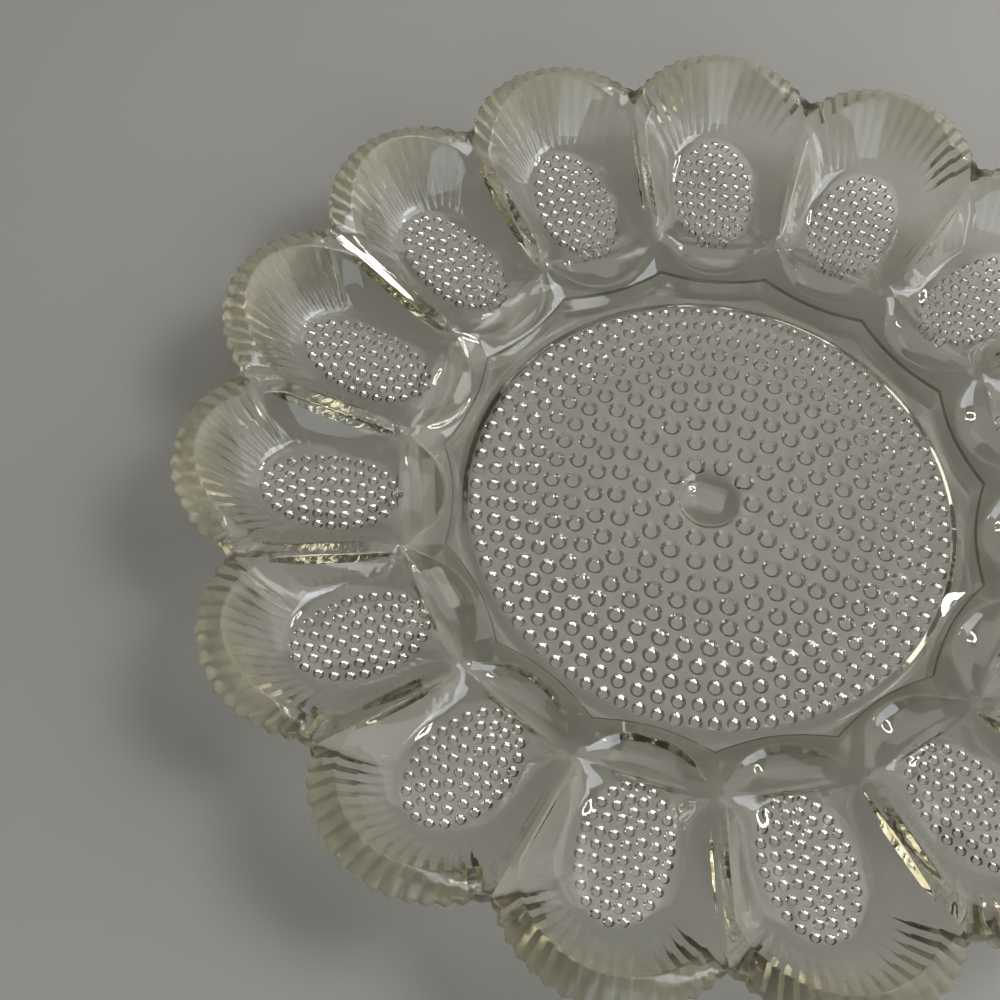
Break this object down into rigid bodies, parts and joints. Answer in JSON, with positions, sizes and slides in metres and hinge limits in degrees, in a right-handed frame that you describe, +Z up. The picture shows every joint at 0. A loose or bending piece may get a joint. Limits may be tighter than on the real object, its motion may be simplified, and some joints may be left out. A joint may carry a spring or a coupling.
{
  "type": "deviled egg platter",
  "caption": "Round pressed-glass platter with a ring of egg-shaped wells, scalloped fluted rim, hobnails underneath and a flat centre.",
  "frame": {"origin": "centre of the plane that the foot ring rests on", "axes": "+Z up through the middle of the plate, +Y through the middle of well 01"},
  "size_m": [0.2838, 0.2824, 0.0365],
  "materials": {
    "clear_glass": "fire-polished, faintly olive where thick"
  },
  "bodies": {
    "root": {"centre_plate": "clear_glass", "foot_ring": "clear_glass", "centre_hobnails": "clear_glass", "centre_knob": "clear_glass", "collar": "clear_glass", "egg_well_01": "clear_glass", "egg_well_02": "clear_glass", "egg_well_03": "clear_glass", "egg_well_04": "clear_glass", "egg_well_05": "clear_glass", "egg_well_06": "clear_glass", "egg_well_07": "clear_glass", "egg_well_08": "clear_glass", "egg_well_09": "clear_glass", "egg_well_10": "clear_glass", "egg_well_11": "clear_glass", "egg_well_12": "clear_glass", "egg_well_13": "clear_glass", "egg_well_14": "clear_glass", "egg_well_15": "clear_glass", "well_hobnails_01": "clear_glass", "well_hobnails_02": "clear_glass", "well_hobnails_03": "clear_glass", "well_hobnails_04": "clear_glass", "well_hobnails_05": "clear_glass", "well_hobnails_06": "clear_glass", "well_hobnails_07": "clear_glass", "well_hobnails_08": "clear_glass", "well_hobnails_09": "clear_glass", "well_hobnails_10": "clear_glass", "well_hobnails_11": "clear_glass", "well_hobnails_12": "clear_glass", "well_hobnails_13": "clear_glass", "well_hobnails_14": "clear_glass", "well_hobnails_15": "clear_glass"}
  },
  "joints": []
}
